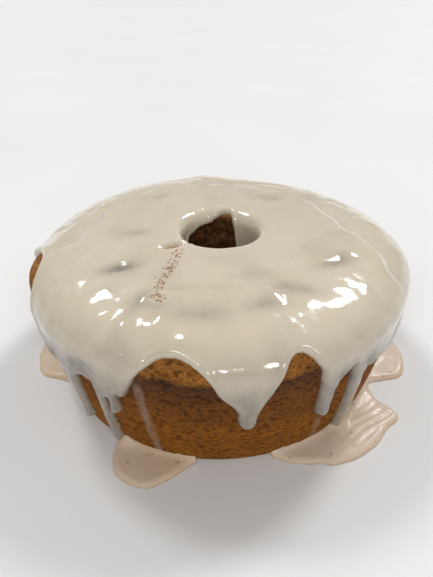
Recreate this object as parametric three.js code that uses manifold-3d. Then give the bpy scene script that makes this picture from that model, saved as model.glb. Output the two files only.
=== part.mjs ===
// A ring cake baked in a smooth-sided tube pan, standing the right way up, under a poured sugar
// glaze that has run down its sides in drips and spread into thin pools round its foot.
//
// Millimetres, +Z up. The origin is the centre of the cake's flat base. Azimuths are in degrees,
// counted from the front (-Y) towards the right (+X).

import * as THREE from 'three';
import { mergeVertices } from 'three/addons/utils/BufferGeometryUtils.js';
import Module from 'manifold-3d';

const wasm = await Module();
wasm.setup();

// ---------------------------------------------------------------- driving dimensions

const BASE_RADIUS = 104.5;
const FOOT_ROUNDING = 3;
const WIDEST_RADIUS = 112.3;
const WIDEST_HEIGHT = 67;
const CROWN_HEIGHT = 83.3;
const SHOULDER_WIDTH = 37.8;            // how far in from the widest radius the crown begins
const HOLE_TOP_RADIUS = 26.5;
const HOLE_BASE_RADIUS = 30.5;          // the pan's tube is wider at its foot
const LIP_ROUNDING = 5;                 // radius of the hole's upper edge
const HOLE_SHIFT = { x: 2, y: 2 };      // the hole has baked a little off centre

const GAP = 0.3;                        // clearance between touching pieces
const GLAZE_THICKNESS = 3.2;
const GLAZE_EDGE = 3;                   // distance over which the glaze thins to its edge
const BURIED = 2;                       // how deep glaze shapes start inside the cake, before the cut

const POOL_THICKNESS = 2.6;
const POOL_EDGE = 4;
const POOL_SEAT = BASE_RADIUS + GAP;

const CAKE_SEGMENTS = 56;
const POOL_STEP = 2.5;                  // mean degrees between a pool's sections

// The crown has baked a little lower at the back right than elsewhere.
const CROWN_SAG = { at: 155, spread: 38, depth: 2.4 };

// Lower edge of the glaze on the outside: [azimuth, height]. Bare windows are its high points.
const OUTER_HEM = [
    [-180, 54], [-170, 64], [-160, 68], [-150, 56], [-140, 50], [-130, 60], [-120, 66], [-110, 58],
    [-100, 48], [-94, 56], [-88, 67], [-82, 74.5], [-76, 76], [-70, 75], [-63, 71], [-56, 59], [-50, 47],
    [-45, 44], [-40.5, 48], [-36.5, 52.5], [-33.5, 52], [-31, 47], [-28.5, 45], [-25.3, 51.5],
    [-23.3, 50], [-21.5, 55.4], [-20, 61.5], [-18.8, 66.4], [-17.2, 70.3], [-15, 73.6],
    [-13, 75.2], [-10.5, 75.7], [-8, 75.2], [-5.5, 73.6], [-3.5, 71.6], [-1.8, 68], [0, 61.2],
    [1.9, 56.4], [3.4, 52.5], [5.2, 47.5], [7.5, 45], [9.6, 47.5], [11.6, 54.3], [13.8, 60.2],
    [15.7, 67.4], [17.2, 72.3], [18.6, 74.3], [20, 74.8], [21.7, 73.6], [23.3, 70.3],
    [24.8, 64.9], [25.8, 58], [27.8, 52], [30, 50.5], [31.8, 54], [33.6, 59.3], [35, 60.8],
    [36.4, 57], [38, 52], [40.5, 47], [43, 48.5], [47, 50.5], [52, 48], [60, 56],
    [68, 52], [76, 46], [84, 54], [94, 62], [104, 56], [114, 48], [124, 58], [134, 67],
    [144, 61], [154, 50], [164, 58], [172, 60], [180, 54],
];

// Lower edge of the glaze inside the hole: a deep tongue on the right, hardly any at the back.
const INNER_HEM = [
    [-180, 76.5], [-150, 75.4], [-132, 72], [-120, 66], [-105, 54], [-90, 48], [-70, 52], [-45, 62],
    [-15, 68], [15, 68], [45, 58], [65, 42], [95, 36], [125, 38], [145, 46], [155, 58], [164, 72],
    [172, 76.5], [180, 76.5],
];

// Drips below the hem: azimuth, where they leave the glaze and end, half widths, fullness.
const DRIPS = [
    { at: 7.3, lean: 0, top: 60, tip: 34.5, half: 8, tipHalf: 4.6, full: 3.6 },
    { at: 28, lean: -0.2, top: 58, tip: 30, half: 4.6, tipHalf: 3.9, full: 3.4 },
    { at: 37.4, lean: 1.6, top: 60, tip: 3.4, half: 3.9, tipHalf: 3.9, full: 3.2 },
    { at: -26.6, lean: -0.9, top: 56, tip: 31.5, half: 3, tipHalf: 2.9, full: 3.8 },
    { at: -30, lean: -1, top: 56, tip: 3.4, half: 3.4, tipHalf: 3.3, full: 3 },
    { at: -42, lean: -0.6, top: 56, tip: 8, half: 6, tipHalf: 4, full: 3.8 },
    { at: -99, lean: 1, top: 54, tip: 3.4, half: 6, tipHalf: 3.6, full: 3.4 },
    { at: -141, lean: 0, top: 56, tip: 22, half: 6, tipHalf: 3.8, full: 3.6 },
    { at: -176, lean: 1, top: 60, tip: 3.4, half: 5, tipHalf: 3.4, full: 3.4 },
    { at: 154, lean: -1, top: 56, tip: 13, half: 6, tipHalf: 3.6, full: 3.6 },
    { at: 113, lean: 1, top: 54, tip: 26, half: 5.5, tipHalf: 3.4, full: 3.6 },
    { at: 77, lean: -1, top: 52, tip: 3.4, half: 6, tipHalf: 3.8, full: 3.4 },
];

// Pools on what the cake stands on, each an outer edge round the foot: [azimuth, radius].
const POOLS = {
    glaze_pool_front: [
        [-31.5, 107], [-29, 118], [-26, 124], [-21.3, 126], [-17, 125], [-13.5, 119.3], [-10, 112],
        [-6.8, 106.5],
    ],
    glaze_pool_right: [
        [15.6, 106.2], [19.8, 112], [23.6, 116.4], [26.8, 118.8], [29, 122.6], [32.6, 125.2],
        [36, 127.3], [42, 128.5], [49, 128.4], [53.6, 130], [55.3, 125], [56.6, 114], [60, 108.4],
        [63, 108.6], [66, 116], [69, 124.4], [72, 127], [76, 127], [82, 125.5], [87, 121],
        [92, 112], [95, 106.5],
    ],
    glaze_pool_left: [
        [-106, 106.5], [-102, 112], [-95, 120], [-86, 124.5], [-77, 125], [-71, 122], [-67, 112],
        [-64, 106.5],
    ],
    glaze_pool_back: [
        [164, 106.5], [169, 113], [175, 118.5], [181, 119.5], [187, 118.5], [193, 113],
        [198, 106.5],
    ],
};

// ---------------------------------------------------------------- the cake's surface

const CROWN_EDGE = WIDEST_RADIUS - SHOULDER_WIDTH;

// The section through one side of the ring: up the hole, over the lip and crown, down the side.
function surfaceSection() {
    const lipRadius = HOLE_TOP_RADIUS + LIP_ROUNDING;
    const section = new THREE.Path();
    section.moveTo(HOLE_BASE_RADIUS, 0);
    section.lineTo(HOLE_TOP_RADIUS, CROWN_HEIGHT - LIP_ROUNDING);
    section.absarc(lipRadius, CROWN_HEIGHT - LIP_ROUNDING, LIP_ROUNDING, Math.PI, Math.PI / 2, true);
    section.lineTo(CROWN_EDGE, CROWN_HEIGHT);
    section.absellipse(
        CROWN_EDGE, WIDEST_HEIGHT, SHOULDER_WIDTH, CROWN_HEIGHT - WIDEST_HEIGHT, Math.PI / 2, 0, true,
    );
    section.quadraticCurveTo(WIDEST_RADIUS, 0.6 * WIDEST_HEIGHT, BASE_RADIUS, FOOT_ROUNDING);
    section.quadraticCurveTo(BASE_RADIUS - 0.4, 0, BASE_RADIUS - FOOT_ROUNDING, 0);
    return section;
}

const SECTION = surfaceSection();
const SECTION_LENGTH = SECTION.getLength();
const STEPS_PER_CURVE = [1, 2, 1, 5, 3, 2];  // facets along each curve of the section

// A point of the section, at a distance along it and a height off the cake's surface.
function sectionPoint(along, height) {
    const t = along / SECTION_LENGTH;
    const point = SECTION.getPoint(t);
    const tangent = SECTION.getTangent(t);
    return new THREE.Vector2(point.x - tangent.y * height, point.y + tangent.x * height);
}

// Distance along the section at which the surface crosses a height, between two distances.
function alongAt(height, low, high) {
    const rising = sectionPoint(low, 0).y < sectionPoint(high, 0).y;
    for (let step = 0; step < 40; step += 1) {
        const middle = (low + high) / 2;
        const below = sectionPoint(middle, 0).y < height;
        if (below === rising) low = middle;
        else high = middle;
    }
    return low;
}

const CROWN_ALONG = SECTION.getCurveLengths()[2];
const outerAlong = (height) => alongAt(height, CROWN_ALONG, SECTION_LENGTH);
const innerAlong = (height) => alongAt(height, 0, SECTION.getCurveLengths()[1]);

// How far the crown has sunk at an azimuth, for a point at some height.
function sag(azimuth, height) {
    const away = THREE.MathUtils.euclideanModulo(azimuth - CROWN_SAG.at + 180, 360) - 180;
    const share = THREE.MathUtils.smoothstep(height, WIDEST_HEIGHT - 10, CROWN_HEIGHT);
    return CROWN_SAG.depth * share * Math.exp(-((away / CROWN_SAG.spread) ** 2));
}

function atAzimuth(azimuth, radius, height) {
    const angle = THREE.MathUtils.degToRad(azimuth);
    const shift = 1 - THREE.MathUtils.smoothstep(radius, HOLE_BASE_RADIUS + GAP, CROWN_EDGE);
    const x = radius * Math.sin(angle) + HOLE_SHIFT.x * shift;
    const y = -radius * Math.cos(angle) + HOLE_SHIFT.y * shift;
    return new THREE.Vector3(x, y, height);
}

function onCake(azimuth, along, height) {
    const point = sectionPoint(along, height);
    return atAzimuth(azimuth, point.x, point.y - sag(azimuth, point.y));
}

// ---------------------------------------------------------------- solids

// Joins rings with equal numbers of points into a closed body; the last ring meets the first
// where the rings go all the way round, and otherwise both ends are capped.
function loft(rings, goesRound) {
    const size = rings[0].length;
    const count = rings.length;
    const index = [];
    for (let ring = 0; ring < (goesRound ? count : count - 1); ring += 1) {
        const next = (ring + 1) % count;
        for (let point = 0; point < size; point += 1) {
            const a = ring * size + point;
            const b = ring * size + (point + 1) % size;
            const c = next * size + (point + 1) % size;
            const d = next * size + point;
            index.push(a, b, c, a, c, d);
        }
    }
    if (!goesRound) {
        const last = (count - 1) * size;
        for (let point = 1; point < size - 1; point += 1) {
            index.push(0, point + 1, point);
            index.push(last, last + point, last + point + 1);
        }
    }
    const geometry = new THREE.BufferGeometry().setFromPoints(rings.flat());
    geometry.setIndex(index);
    return geometry;
}

function toSolid(geometry) {
    geometry.deleteAttribute('normal');
    geometry.deleteAttribute('uv');
    const merged = mergeVertices(geometry, 1e-4);
    return new wasm.Manifold(new wasm.Mesh({
        numProp: 3,
        vertProperties: merged.getAttribute('position').array,
        triVerts: new Uint32Array(merged.getIndex().array),
    }));
}

function toGeometry(solid) {
    const mesh = solid.getMesh();
    const geometry = new THREE.BufferGeometry();
    geometry.setAttribute('position', new THREE.BufferAttribute(mesh.vertProperties, 3));
    geometry.setIndex(new THREE.BufferAttribute(mesh.triVerts, 1));
    geometry.computeVertexNormals();
    return geometry;
}

// The ring of cake with every surface moved out by a clearance; a positive drop lowers its base.
function ring(clearance, drop) {
    const points = [new THREE.Vector2(sectionPoint(0, clearance).x, -drop)];
    SECTION.curves.forEach((curve, order) => {
        const start = order === 0 ? 0 : SECTION.getCurveLengths()[order - 1];
        const steps = STEPS_PER_CURVE[order];
        for (let step = 0; step < steps; step += 1) {
            points.push(sectionPoint(start + (curve.getLength() * step) / steps, clearance));
        }
    });
    points.push(new THREE.Vector2(BASE_RADIUS - FOOT_ROUNDING + clearance, -drop));
    if (drop === 0) points.shift();
    const rings = [];
    for (let segment = 0; segment < CAKE_SEGMENTS; segment += 1) {
        const azimuth = (segment * 360) / CAKE_SEGMENTS;
        rings.push(points.map(({ x, y }) => atAzimuth(azimuth, x, y - sag(azimuth, y))));
    }
    return loft(rings, true);
}

// ---------------------------------------------------------------- glaze

// Value of a hem at an azimuth, eased between its two neighbouring points.
function hemHeight(hem, azimuth) {
    const after = Math.max(1, hem.findIndex((point) => point[0] >= azimuth));
    const [startAzimuth, startHeight] = hem[after - 1];
    const [endAzimuth, endHeight] = hem[after];
    const share = THREE.MathUtils.smoothstep(azimuth, startAzimuth, endAzimuth);
    return THREE.MathUtils.lerp(startHeight, endHeight, share);
}

function glazeThickness(fromEdge) {
    const share = 1 - Math.min(fromEdge / GLAZE_EDGE, 1);
    return GLAZE_THICKNESS * Math.sqrt(1 - share * share);
}

const EDGE_STEPS = [0, 0.7];            // distances from an edge of the rows that round it
const HOLE_STEPS = 2;
const CROWN_STEPS = 1;
const SHOULDER_STEPS = 2;
const SIDE_STEPS = 4;
const SHOULDER_ALONG = outerAlong(0.957 * CROWN_HEIGHT);
const WIDEST_COLUMN = 4.5;              // degrees between neighbouring columns
const ROWS_PER_UNDERSIDE_ROW = 5;       // the hidden underside needs fewer rows

// Distances along the section at which one column of the glaze has its points.
function glazeRows(start, end) {
    const lipAlong = Math.max(SECTION.getCurveLengths()[1], start + 2 * GLAZE_EDGE);
    const rows = EDGE_STEPS.map((step) => start + step);
    const sideStart = Math.min(SHOULDER_ALONG, end - 2 * GLAZE_EDGE);
    const spans = [
        [start + GLAZE_EDGE, lipAlong, HOLE_STEPS],
        [lipAlong, CROWN_ALONG, CROWN_STEPS],
        [CROWN_ALONG, sideStart, SHOULDER_STEPS],
        [sideStart, end - GLAZE_EDGE, SIDE_STEPS],
    ];
    spans.forEach(([low, high, steps]) => {
        for (let step = 0; step < steps; step += 1) rows.push(low + ((high - low) * step) / steps);
    });
    rows.push(end - GLAZE_EDGE);
    [...EDGE_STEPS].reverse().forEach((step) => rows.push(end - step));
    return rows;
}

function glazeColumn(azimuth) {
    const start = innerAlong(hemHeight(INNER_HEM, azimuth));
    const end = outerAlong(hemHeight(OUTER_HEM, azimuth));
    const rows = glazeRows(start, end);
    const outside = rows.map((along) => {
        const thickness = glazeThickness(Math.min(along - start, end - along));
        return onCake(azimuth, along, thickness);
    });
    const last = rows.length - 1;
    const isKept = (order) => order === 0 || order === last || order % ROWS_PER_UNDERSIDE_ROW === 2;
    const inside = rows.filter((along, order) => isKept(order)).reverse();
    return [...outside, ...inside.map((along) => onCake(azimuth, along, -BURIED))];
}

function glazeSheet() {
    const azimuths = [];
    OUTER_HEM.slice(1).forEach(([azimuth], order) => {
        const before = OUTER_HEM[order][0];
        const columns = Math.ceil((azimuth - before) / WIDEST_COLUMN);
        for (let column = 0; column < columns; column += 1) {
            azimuths.push(THREE.MathUtils.lerp(before, azimuth, column / columns));
        }
    });
    return loft(azimuths.map(glazeColumn), true);
}

const DRIP_STATIONS = 5;
const DRIP_ARC_STEPS = 4;
const DRIP_ROUNDING = 0.85;             // length of the rounded tip, in tip half widths
const DRIP_TAPER = 1.6;                 // a drip reaches its tip's width this much before its tip
const DRIP_BLUNTNESS = 0.96;            // share of a drip's section that is gone at its very end

// A drip hugs the side from its top down to a rounded tip, leaning by some degrees on the way.
function drip({ at, lean, top, tip, half, tipHalf, full }) {
    const start = outerAlong(top);
    const end = outerAlong(tip);
    const roundFrom = 1 - (DRIP_ROUNDING * tipHalf) / (end - start);
    const rings = [];
    for (let station = 0; station <= DRIP_STATIONS; station += 1) {
        const share = Math.sin((station / DRIP_STATIONS) * (Math.PI / 2));
        const past = Math.max(0, (share - roundFrom) / (1 - roundFrom));
        const tipShape = Math.sqrt(1 - DRIP_BLUNTNESS * past * past);
        const taper = Math.min(1, share * DRIP_TAPER);
        const width = THREE.MathUtils.lerp(half, tipHalf, taper) * tipShape;
        const along = THREE.MathUtils.lerp(start, end, share);
        const degreesPerMm = 180 / (Math.PI * sectionPoint(along, 0).x);
        const centre = at + lean * share;
        const points = [onCake(centre + width * degreesPerMm, along, -BURIED)];
        for (let step = 0; step <= DRIP_ARC_STEPS; step += 1) {
            const angle = (Math.PI * step) / DRIP_ARC_STEPS;
            const azimuth = centre + width * Math.cos(angle) * degreesPerMm;
            points.push(onCake(azimuth, along, full * tipShape * Math.sin(angle)));
        }
        points.push(onCake(centre - width * degreesPerMm, along, -BURIED));
        rings.push(points);
    }
    return loft(rings, false);
}

function glaze() {
    const sheet = toSolid(glazeSheet());
    const poured = DRIPS.reduce((solid, shape) => solid.add(toSolid(drip(shape))), sheet);
    return toGeometry(poured.subtract(toSolid(ring(GAP, 2 * BURIED))));
}

const POOL_EDGE_SHARES = [1, 0.5, 0.15, 0];  // where a pool's rounded edge has its points
const POOL_EDGE_LIMIT = 0.8;            // most of a pool's width that the rounding may take

// A pool is flat on top, straight against the cake's foot and rounded at its outer edge.
function pool(edge) {
    const corners = edge.map(([azimuth, radius]) => new THREE.Vector2(azimuth, radius));
    const degrees = corners[corners.length - 1].x - corners[0].x;
    const route = new THREE.SplineCurve(corners).getPoints(Math.round(degrees / POOL_STEP));
    const rings = route.map(({ x: azimuth, y: outerRadius }) => {
        const width = outerRadius - POOL_SEAT;
        const rounding = Math.min(POOL_EDGE, width * POOL_EDGE_LIMIT);
        const height = POOL_THICKNESS * Math.min(1, Math.sqrt(width / (2 * POOL_EDGE)));
        const outline = [[POOL_SEAT, 0], [POOL_SEAT, height]];
        POOL_EDGE_SHARES.forEach((share) => {
            const rise = Math.sqrt(1 - (1 - share) ** 2);
            outline.push([outerRadius - rounding * share, height * rise]);
        });
        return outline.map(([radius, level]) => atAzimuth(azimuth, radius, level));
    });
    return loft(rings, false);
}

// ---------------------------------------------------------------- the group

function foodMaterial(color, roughness) {
    return new THREE.MeshStandardMaterial({ color, roughness, metalness: 0 });
}

const crustMaterial = foodMaterial(0x6d4622, 0.85);
const glazeMaterial = foodMaterial(0xcdc4ae, 0.25);
const poolMaterial = foodMaterial(0xb19678, 0.3);

const group = new THREE.Group();

function place(name, geometry, material) {
    geometry.computeVertexNormals();
    const mesh = new THREE.Mesh(geometry, material);
    mesh.name = name;
    group.add(mesh);
}

place('cake', ring(0, 0), crustMaterial);
place('glaze', glaze(), glazeMaterial);
for (const [name, edge] of Object.entries(POOLS)) place(name, pool(edge), poolMaterial);

export default group;
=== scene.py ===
# A glazed ring cake: a browned, finely pored crust under a poured sugar glaze that has run down
# the sides in drips and spread into pools round the foot. Shapes are worked out in millimetres
# and turned into metres when a mesh is made. Azimuths are in degrees from the front (-Y)
# towards the right (+X); "along" is a distance along the cake's section, counted up the wall of
# the hole, over the crown and down the side.

import math
import random

import bpy
import numpy as np
from mathutils import Matrix, Vector, noise


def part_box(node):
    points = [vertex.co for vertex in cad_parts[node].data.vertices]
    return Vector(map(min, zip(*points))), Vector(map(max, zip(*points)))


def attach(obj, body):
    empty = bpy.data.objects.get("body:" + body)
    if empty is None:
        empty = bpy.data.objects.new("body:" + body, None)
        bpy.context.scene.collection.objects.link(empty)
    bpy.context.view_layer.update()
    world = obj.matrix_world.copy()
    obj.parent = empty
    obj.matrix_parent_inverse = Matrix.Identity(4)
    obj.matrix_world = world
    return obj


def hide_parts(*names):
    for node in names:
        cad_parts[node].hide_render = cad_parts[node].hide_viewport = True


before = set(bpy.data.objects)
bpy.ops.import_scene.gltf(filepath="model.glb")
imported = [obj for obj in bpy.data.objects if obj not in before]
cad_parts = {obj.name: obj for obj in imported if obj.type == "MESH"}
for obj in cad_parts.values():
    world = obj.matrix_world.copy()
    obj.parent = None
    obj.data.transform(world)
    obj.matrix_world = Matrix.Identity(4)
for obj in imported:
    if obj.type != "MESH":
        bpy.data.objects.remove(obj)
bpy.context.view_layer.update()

MM = 0.001
BODY = "root"

# ------------------------------------------------------------------ driving dimensions

cake_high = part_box("cake")[1] / MM
glaze_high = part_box("glaze")[1] / MM

WIDEST_RADIUS = cake_high[0]
CROWN_HEIGHT = cake_high[2]
GLAZE_THICKNESS = glaze_high[2] - cake_high[2]
WIDEST_HEIGHT = 67.0
BASE_RADIUS = 104.5
FOOT_ROUNDING = 3.0
SHOULDER_WIDTH = 37.8
HOLE_TOP_RADIUS = 26.5
HOLE_BASE_RADIUS = 30.5
LIP_ROUNDING = 5.0
HOLE_SHIFT = (2.0, 2.0)
CROWN_SAG = {"at": 155.0, "spread": 38.0, "depth": 2.4}

SIDE_RADIUS = 109.0       # mean radius of the side, for arcs measured on it
HOLE_RADIUS = 28.0        # the same for the hole's wall

# Lower edge of the glaze on the outside: (azimuth, height). Bare windows are its high points.
OUTER_HEM = [
    (-180, 54), (-170, 64), (-160, 68), (-150, 56), (-140, 50), (-130, 60), (-120, 66), (-110, 58),
    (-100, 48), (-94, 56), (-87, 68), (-82, 76), (-76, 77.5), (-70, 76), (-63, 71), (-56, 59),
    (-50, 47), (-45, 44), (-40.5, 48), (-36.5, 52.5), (-33.5, 52), (-31, 47), (-28.5, 45), (-25.3, 51.5),
    (-23.3, 50), (-21.5, 55.4), (-20, 61.5), (-18.8, 66.4), (-17.2, 70.3), (-15, 73.6),
    (-13, 75.2), (-10.5, 75.7), (-8, 75.2), (-5.5, 73.6), (-3.5, 71.6), (-1.8, 68), (0, 61.2),
    (1.9, 56.4), (3.4, 52.5), (5.2, 47.5), (7.5, 45), (9.4, 47.5), (11.1, 54.3), (13, 60.2),
    (14.9, 67.4), (16.6, 72.5), (18.4, 74.5), (20, 74.8), (21.7, 73.6), (23.3, 70.3),
    (24.8, 64.9), (25.8, 58), (27.8, 52), (30, 50.5), (31.8, 54), (33.6, 59.3), (35, 60.8),
    (36.4, 57), (38, 52), (40.5, 47), (43, 48.5), (47, 50.5), (52, 48), (60, 56),
    (68, 52), (76, 46), (84, 54), (94, 62), (104, 56), (114, 48), (124, 58), (134, 67),
    (144, 61), (154, 50), (164, 58), (172, 60),
]

# Lower edge of the glaze inside the hole: a deep tongue on the right, hardly any at the back.
INNER_HEM = [
    (-180, 81), (-172, 78.5), (-164, 76.5), (-150, 75.4), (-132, 72), (-121, 70), (-116, 60),
    (-109, 50), (-95, 46), (-70, 52), (-45, 62), (-15, 68), (15, 68), (45, 58), (65, 40), (95, 32),
    (125, 36), (150, 46), (156, 58), (159, 74), (164, 81.5), (172, 82.5),
]

# Drips: azimuth and lean in degrees, heights of top and tip, half widths, fullness of the tip.
DRIPS = [
    {"at": 7.3, "lean": -0.1, "top": 60, "tip": 36.2, "half": 8, "tip_half": 4.8, "full": 0.5},
    {"at": 27.9, "lean": -0.5, "top": 58, "tip": 31.2, "half": 4.7, "tip_half": 4.2, "full": 1.1},
    {"at": 37.4, "lean": 1.6, "top": 60, "tip": 1.5, "half": 3.9, "tip_half": 3.9, "full": 0},
    {"at": -26.4, "lean": -0.5, "top": 56, "tip": 35.2, "half": 2.2, "tip_half": 2.7, "full": 1.0},
    {"at": -30.6, "lean": -0.6, "top": 56, "tip": 1.5, "half": 2.3, "tip_half": 2.9, "full": 0},
    {"at": -42, "lean": -0.6, "top": 56, "tip": 8, "half": 6, "tip_half": 4, "full": 0.9},
    {"at": -99, "lean": 1, "top": 54, "tip": 1.5, "half": 6, "tip_half": 3.6, "full": 0},
    {"at": -141, "lean": 0, "top": 56, "tip": 22, "half": 6, "tip_half": 3.8, "full": 0.8},
    {"at": -176, "lean": 1, "top": 60, "tip": 1.5, "half": 5, "tip_half": 3.4, "full": 0},
    {"at": 154, "lean": -1, "top": 56, "tip": 13, "half": 6, "tip_half": 3.6, "full": 0.8},
    {"at": 113, "lean": 1, "top": 54, "tip": 26, "half": 5.5, "tip_half": 3.4, "full": 0.8},
    {"at": 77, "lean": -1, "top": 52, "tip": 1.5, "half": 6, "tip_half": 3.8, "full": 0},
]

# Pools on what the cake stands on: outer edge as (azimuth, radius), and the azimuths at which
# drips run into each one.
POOLS = {
    "glaze_pool_front": {
        "edge": [
            (-31.5, 107), (-29, 118), (-26, 124), (-21.3, 126), (-17, 125), (-13.5, 119.3),
            (-10, 112), (-6.8, 106.5),
        ],
        "feeds": [-29],
    },
    "glaze_pool_right": {
        "edge": [
            (15.6, 106.2), (19.8, 112), (23.6, 116.4), (26.8, 118.8), (29, 122.6), (32.6, 125.2),
            (36, 127.3), (42, 128.5), (49, 128.4), (53.6, 130), (55.3, 125), (56.6, 114), (60, 108.4),
            (63, 108.6), (66, 116), (69, 124.4), (72, 127), (76, 127), (82, 125.5), (87, 121),
            (92, 112), (95, 106.5),
        ],
        "feeds": [40, 76],
    },
    "glaze_pool_left": {
        "edge": [
            (-106, 106.5), (-102, 112), (-95, 120), (-86, 124.5), (-77, 125), (-71, 122),
            (-67, 112), (-64, 106.5),
        ],
        "feeds": [-98],
    },
    "glaze_pool_back": {
        "edge": [
            (164, 106.5), (169, 113), (175, 118.5), (181, 119.5), (187, 118.5), (193, 113),
            (198, 106.5),
        ],
        "feeds": [185],
    },
}

# Films of glaze so thin that the crust shows through: azimuth, height, half sizes in mm.
THIN_FILMS = [
    {"at": 31.2, "height": 47, "arc": 3.5, "tall": 11},
    {"at": -34.5, "height": 60, "arc": 7, "tall": 6},
    {"at": -48, "height": 48, "arc": 3.5, "tall": 11},
    {"at": -32.6, "height": 47, "arc": 3, "tall": 10},
    {"at": 41.5, "height": 52, "arc": 3, "tall": 7},
]

# Streaks where a run of glaze has left only a smear on the crust: azimuth at top and foot,
# heights, half width and strength.
SMEARS = [
    {"top_at": -19.3, "foot_at": -17.6, "top": 62, "foot": 0, "half": 2.3, "strength": 1.0},
    {"top_at": 28.6, "foot_at": 29.6, "top": 26, "foot": 0, "half": 2.2, "strength": 0.75},
    {"top_at": -142, "foot_at": -141, "top": 22, "foot": 0, "half": 2.4, "strength": 0.7},
    {"top_at": 128, "foot_at": 129, "top": 60, "foot": 14, "half": 2.2, "strength": 0.8},
]

# Swellings of the baked cake: azimuth, height, half sizes and rise in mm.
BULGES = [
    {"at": -77, "height": 71, "arc": 20, "tall": 13, "rise": 2.8},
    {"at": 80, "height": 68, "arc": 26, "tall": 12, "rise": 1.8},
    {"at": -175, "height": 77, "arc": 20, "tall": 12, "rise": 1.8},
]

# Folds in the top of the glaze, as routes in plan: the surface steps down on their right, by a
# drop in mm, over a softness in mm.
CREASES = [
    {"route": [(-40, 68), (-62, 45), (-74, 20), (-82, -8), (-92, -34)], "drop": 2.0, "soft": 0.8},
    {"route": [(-56, 72), (-77, 44), (-92, 12), (-102, -18)], "drop": 1.3, "soft": 0.7},
    {
        "route": [(100, -58), (93, -45), (88, -23), (77, 3), (68, 30), (60, 57)],
        "drop": 1.6, "soft": 1.1,
    },
    {"route": [(-20, 92), (8, 84), (34, 80), (62, 66)], "drop": 0.8, "soft": 0.9},
    {"route": [(-44, -60), (-24, -66), (-4, -64), (14, -68)], "drop": 0.7, "soft": 1.6},
]

# Dents (and lumps, with negative depth) in the top: place in plan, half sizes, turn, depth.
DENTS = [
    {"at": (-52, -46), "half": (10, 5), "turn": 20, "depth": 1.3},
    {"at": (-35, -77), "half": (10, 4), "turn": -15, "depth": 0.6},
    {"at": (64, -42), "half": (11, 4.5), "turn": 25, "depth": 1.0},
    {"at": (72, -34), "half": (9, 6), "turn": 30, "depth": -0.7},
    {"at": (35, -65), "half": (9, 5), "turn": -10, "depth": 0.8},
    {"at": (20, -55), "half": (12, 5), "turn": 5, "depth": 0.35},
    {"at": (-5, -82), "half": (12, 6), "turn": 0, "depth": 0.35},
    {"at": (-40, 49), "half": (7, 4), "turn": 35, "depth": 0.5},
    {"at": (39, 49), "half": (9, 5), "turn": -30, "depth": 0.4},
    {"at": (-44, -34), "half": (10, 6), "turn": 30, "depth": -0.6},
    {"at": (5, 78), "half": (14, 6), "turn": 5, "depth": 0.4},
    {"at": (-37, -74), "half": (4, 9), "turn": -25, "depth": 0.9},
    {"at": (-50, -6), "half": (9, 5), "turn": 10, "depth": 0.6},
    {"at": (-6, -85), "half": (13, 5), "turn": 0, "depth": 0.7},
    {"at": (21, -80), "half": (11, 4.5), "turn": 12, "depth": 0.6},
    {"at": (40, -66), "half": (10, 4), "turn": -20, "depth": 0.7},
    {"at": (68, -39), "half": (7, 4), "turn": 60, "depth": 0.7},
    {"at": (-57, -84), "half": (8, 4), "turn": 30, "depth": -1.2},
    {"at": (-43, -91), "half": (4, 8), "turn": -20, "depth": -1.3},
    {"at": (-25, -86), "half": (4, 8), "turn": -20, "depth": -1.2},
    {"at": (39, -97), "half": (7, 4.5), "turn": 15, "depth": -1.3},
    {"at": (58, -78), "half": (9, 6), "turn": 30, "depth": -0.6},
    {"at": (27, -72), "half": (5, 4), "turn": 0, "depth": -1.0},
    {"at": (-14, -100), "half": (6, 4), "turn": 10, "depth": -1.0},
    {"at": (70, 55), "half": (12, 7), "turn": 50, "depth": 0.4},
]

# Wrinkles in the right pool: azimuth and spread in degrees, pitch and height in mm, slant in mm
# per degree, and how far and how often they sway.
WRINKLES = {
    "at": 46, "spread": 9, "pitch": 4.6, "height": 0.17, "slant": 0.35, "sway": 2.2, "sway_every": 3.1,
}

# A slit beside the hole that the glaze has left bare.
BARE_SLIT = {"at": (-25.5, -22), "half": (5.2, 2.0), "turn": 24}

# ------------------------------------------------------------------ curves and noise


def bezier(points, steps):
    """Points of a Bezier curve of any order, without its last point."""
    points = np.array(points, float)
    t = np.arange(steps)[:, None] / steps
    layers = [np.repeat(point[None, :], steps, 0) for point in points]
    while len(layers) > 1:
        layers = [a * (1 - t) + b * t for a, b in zip(layers, layers[1:])]
    return layers[0]


def smooth_route(points, closed_period=None, steps=24):
    """Catmull-Rom curve through 2-D points; a closed one repeats with a period in its first axis."""
    points = np.array(points, float)
    if closed_period:
        shift = np.array([closed_period, 0.0])
        padded = np.vstack([points[-1:] - shift, points, points[:2] + shift])
    else:
        padded = np.vstack([2 * points[0] - points[1], points, 2 * points[-1] - points[-2]])
    t = (np.arange(steps) / steps)[:, None]
    pieces = []
    for a, b, c, d in zip(padded, padded[1:], padded[2:], padded[3:]):
        pieces.append(
            0.5 * (2 * b + (c - a) * t + (2 * a - 5 * b + 4 * c - d) * t**2
                   + (3 * b - a - 3 * c + d) * t**3)
        )
    return np.vstack(pieces + [padded[-2][None, :]])


def noise_at(points, scale, seed=0.0):
    """Gradient noise, about -1 to 1, at points in mm, with features of about the scale given."""
    scaled = points / np.array(scale, float) + seed
    return np.array([noise.noise(Vector(point)) for point in scaled])


def smoothstep(value, low, high):
    share = np.clip((value - low) / (high - low), 0, 1)
    return share * share * (3 - 2 * share)


def segment_distance(px, py, ax, ay, bx, by):
    """Distance from points to a segment, and how far along it the nearest place is, 0 to 1."""
    dx, dy = bx - ax, by - ay
    share = np.clip(((px - ax) * dx + (py - ay) * dy) / (dx * dx + dy * dy + 1e-9), 0, 1)
    return np.hypot(px - ax - share * dx, py - ay - share * dy), share


# ------------------------------------------------------------------ the cake's section


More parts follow.
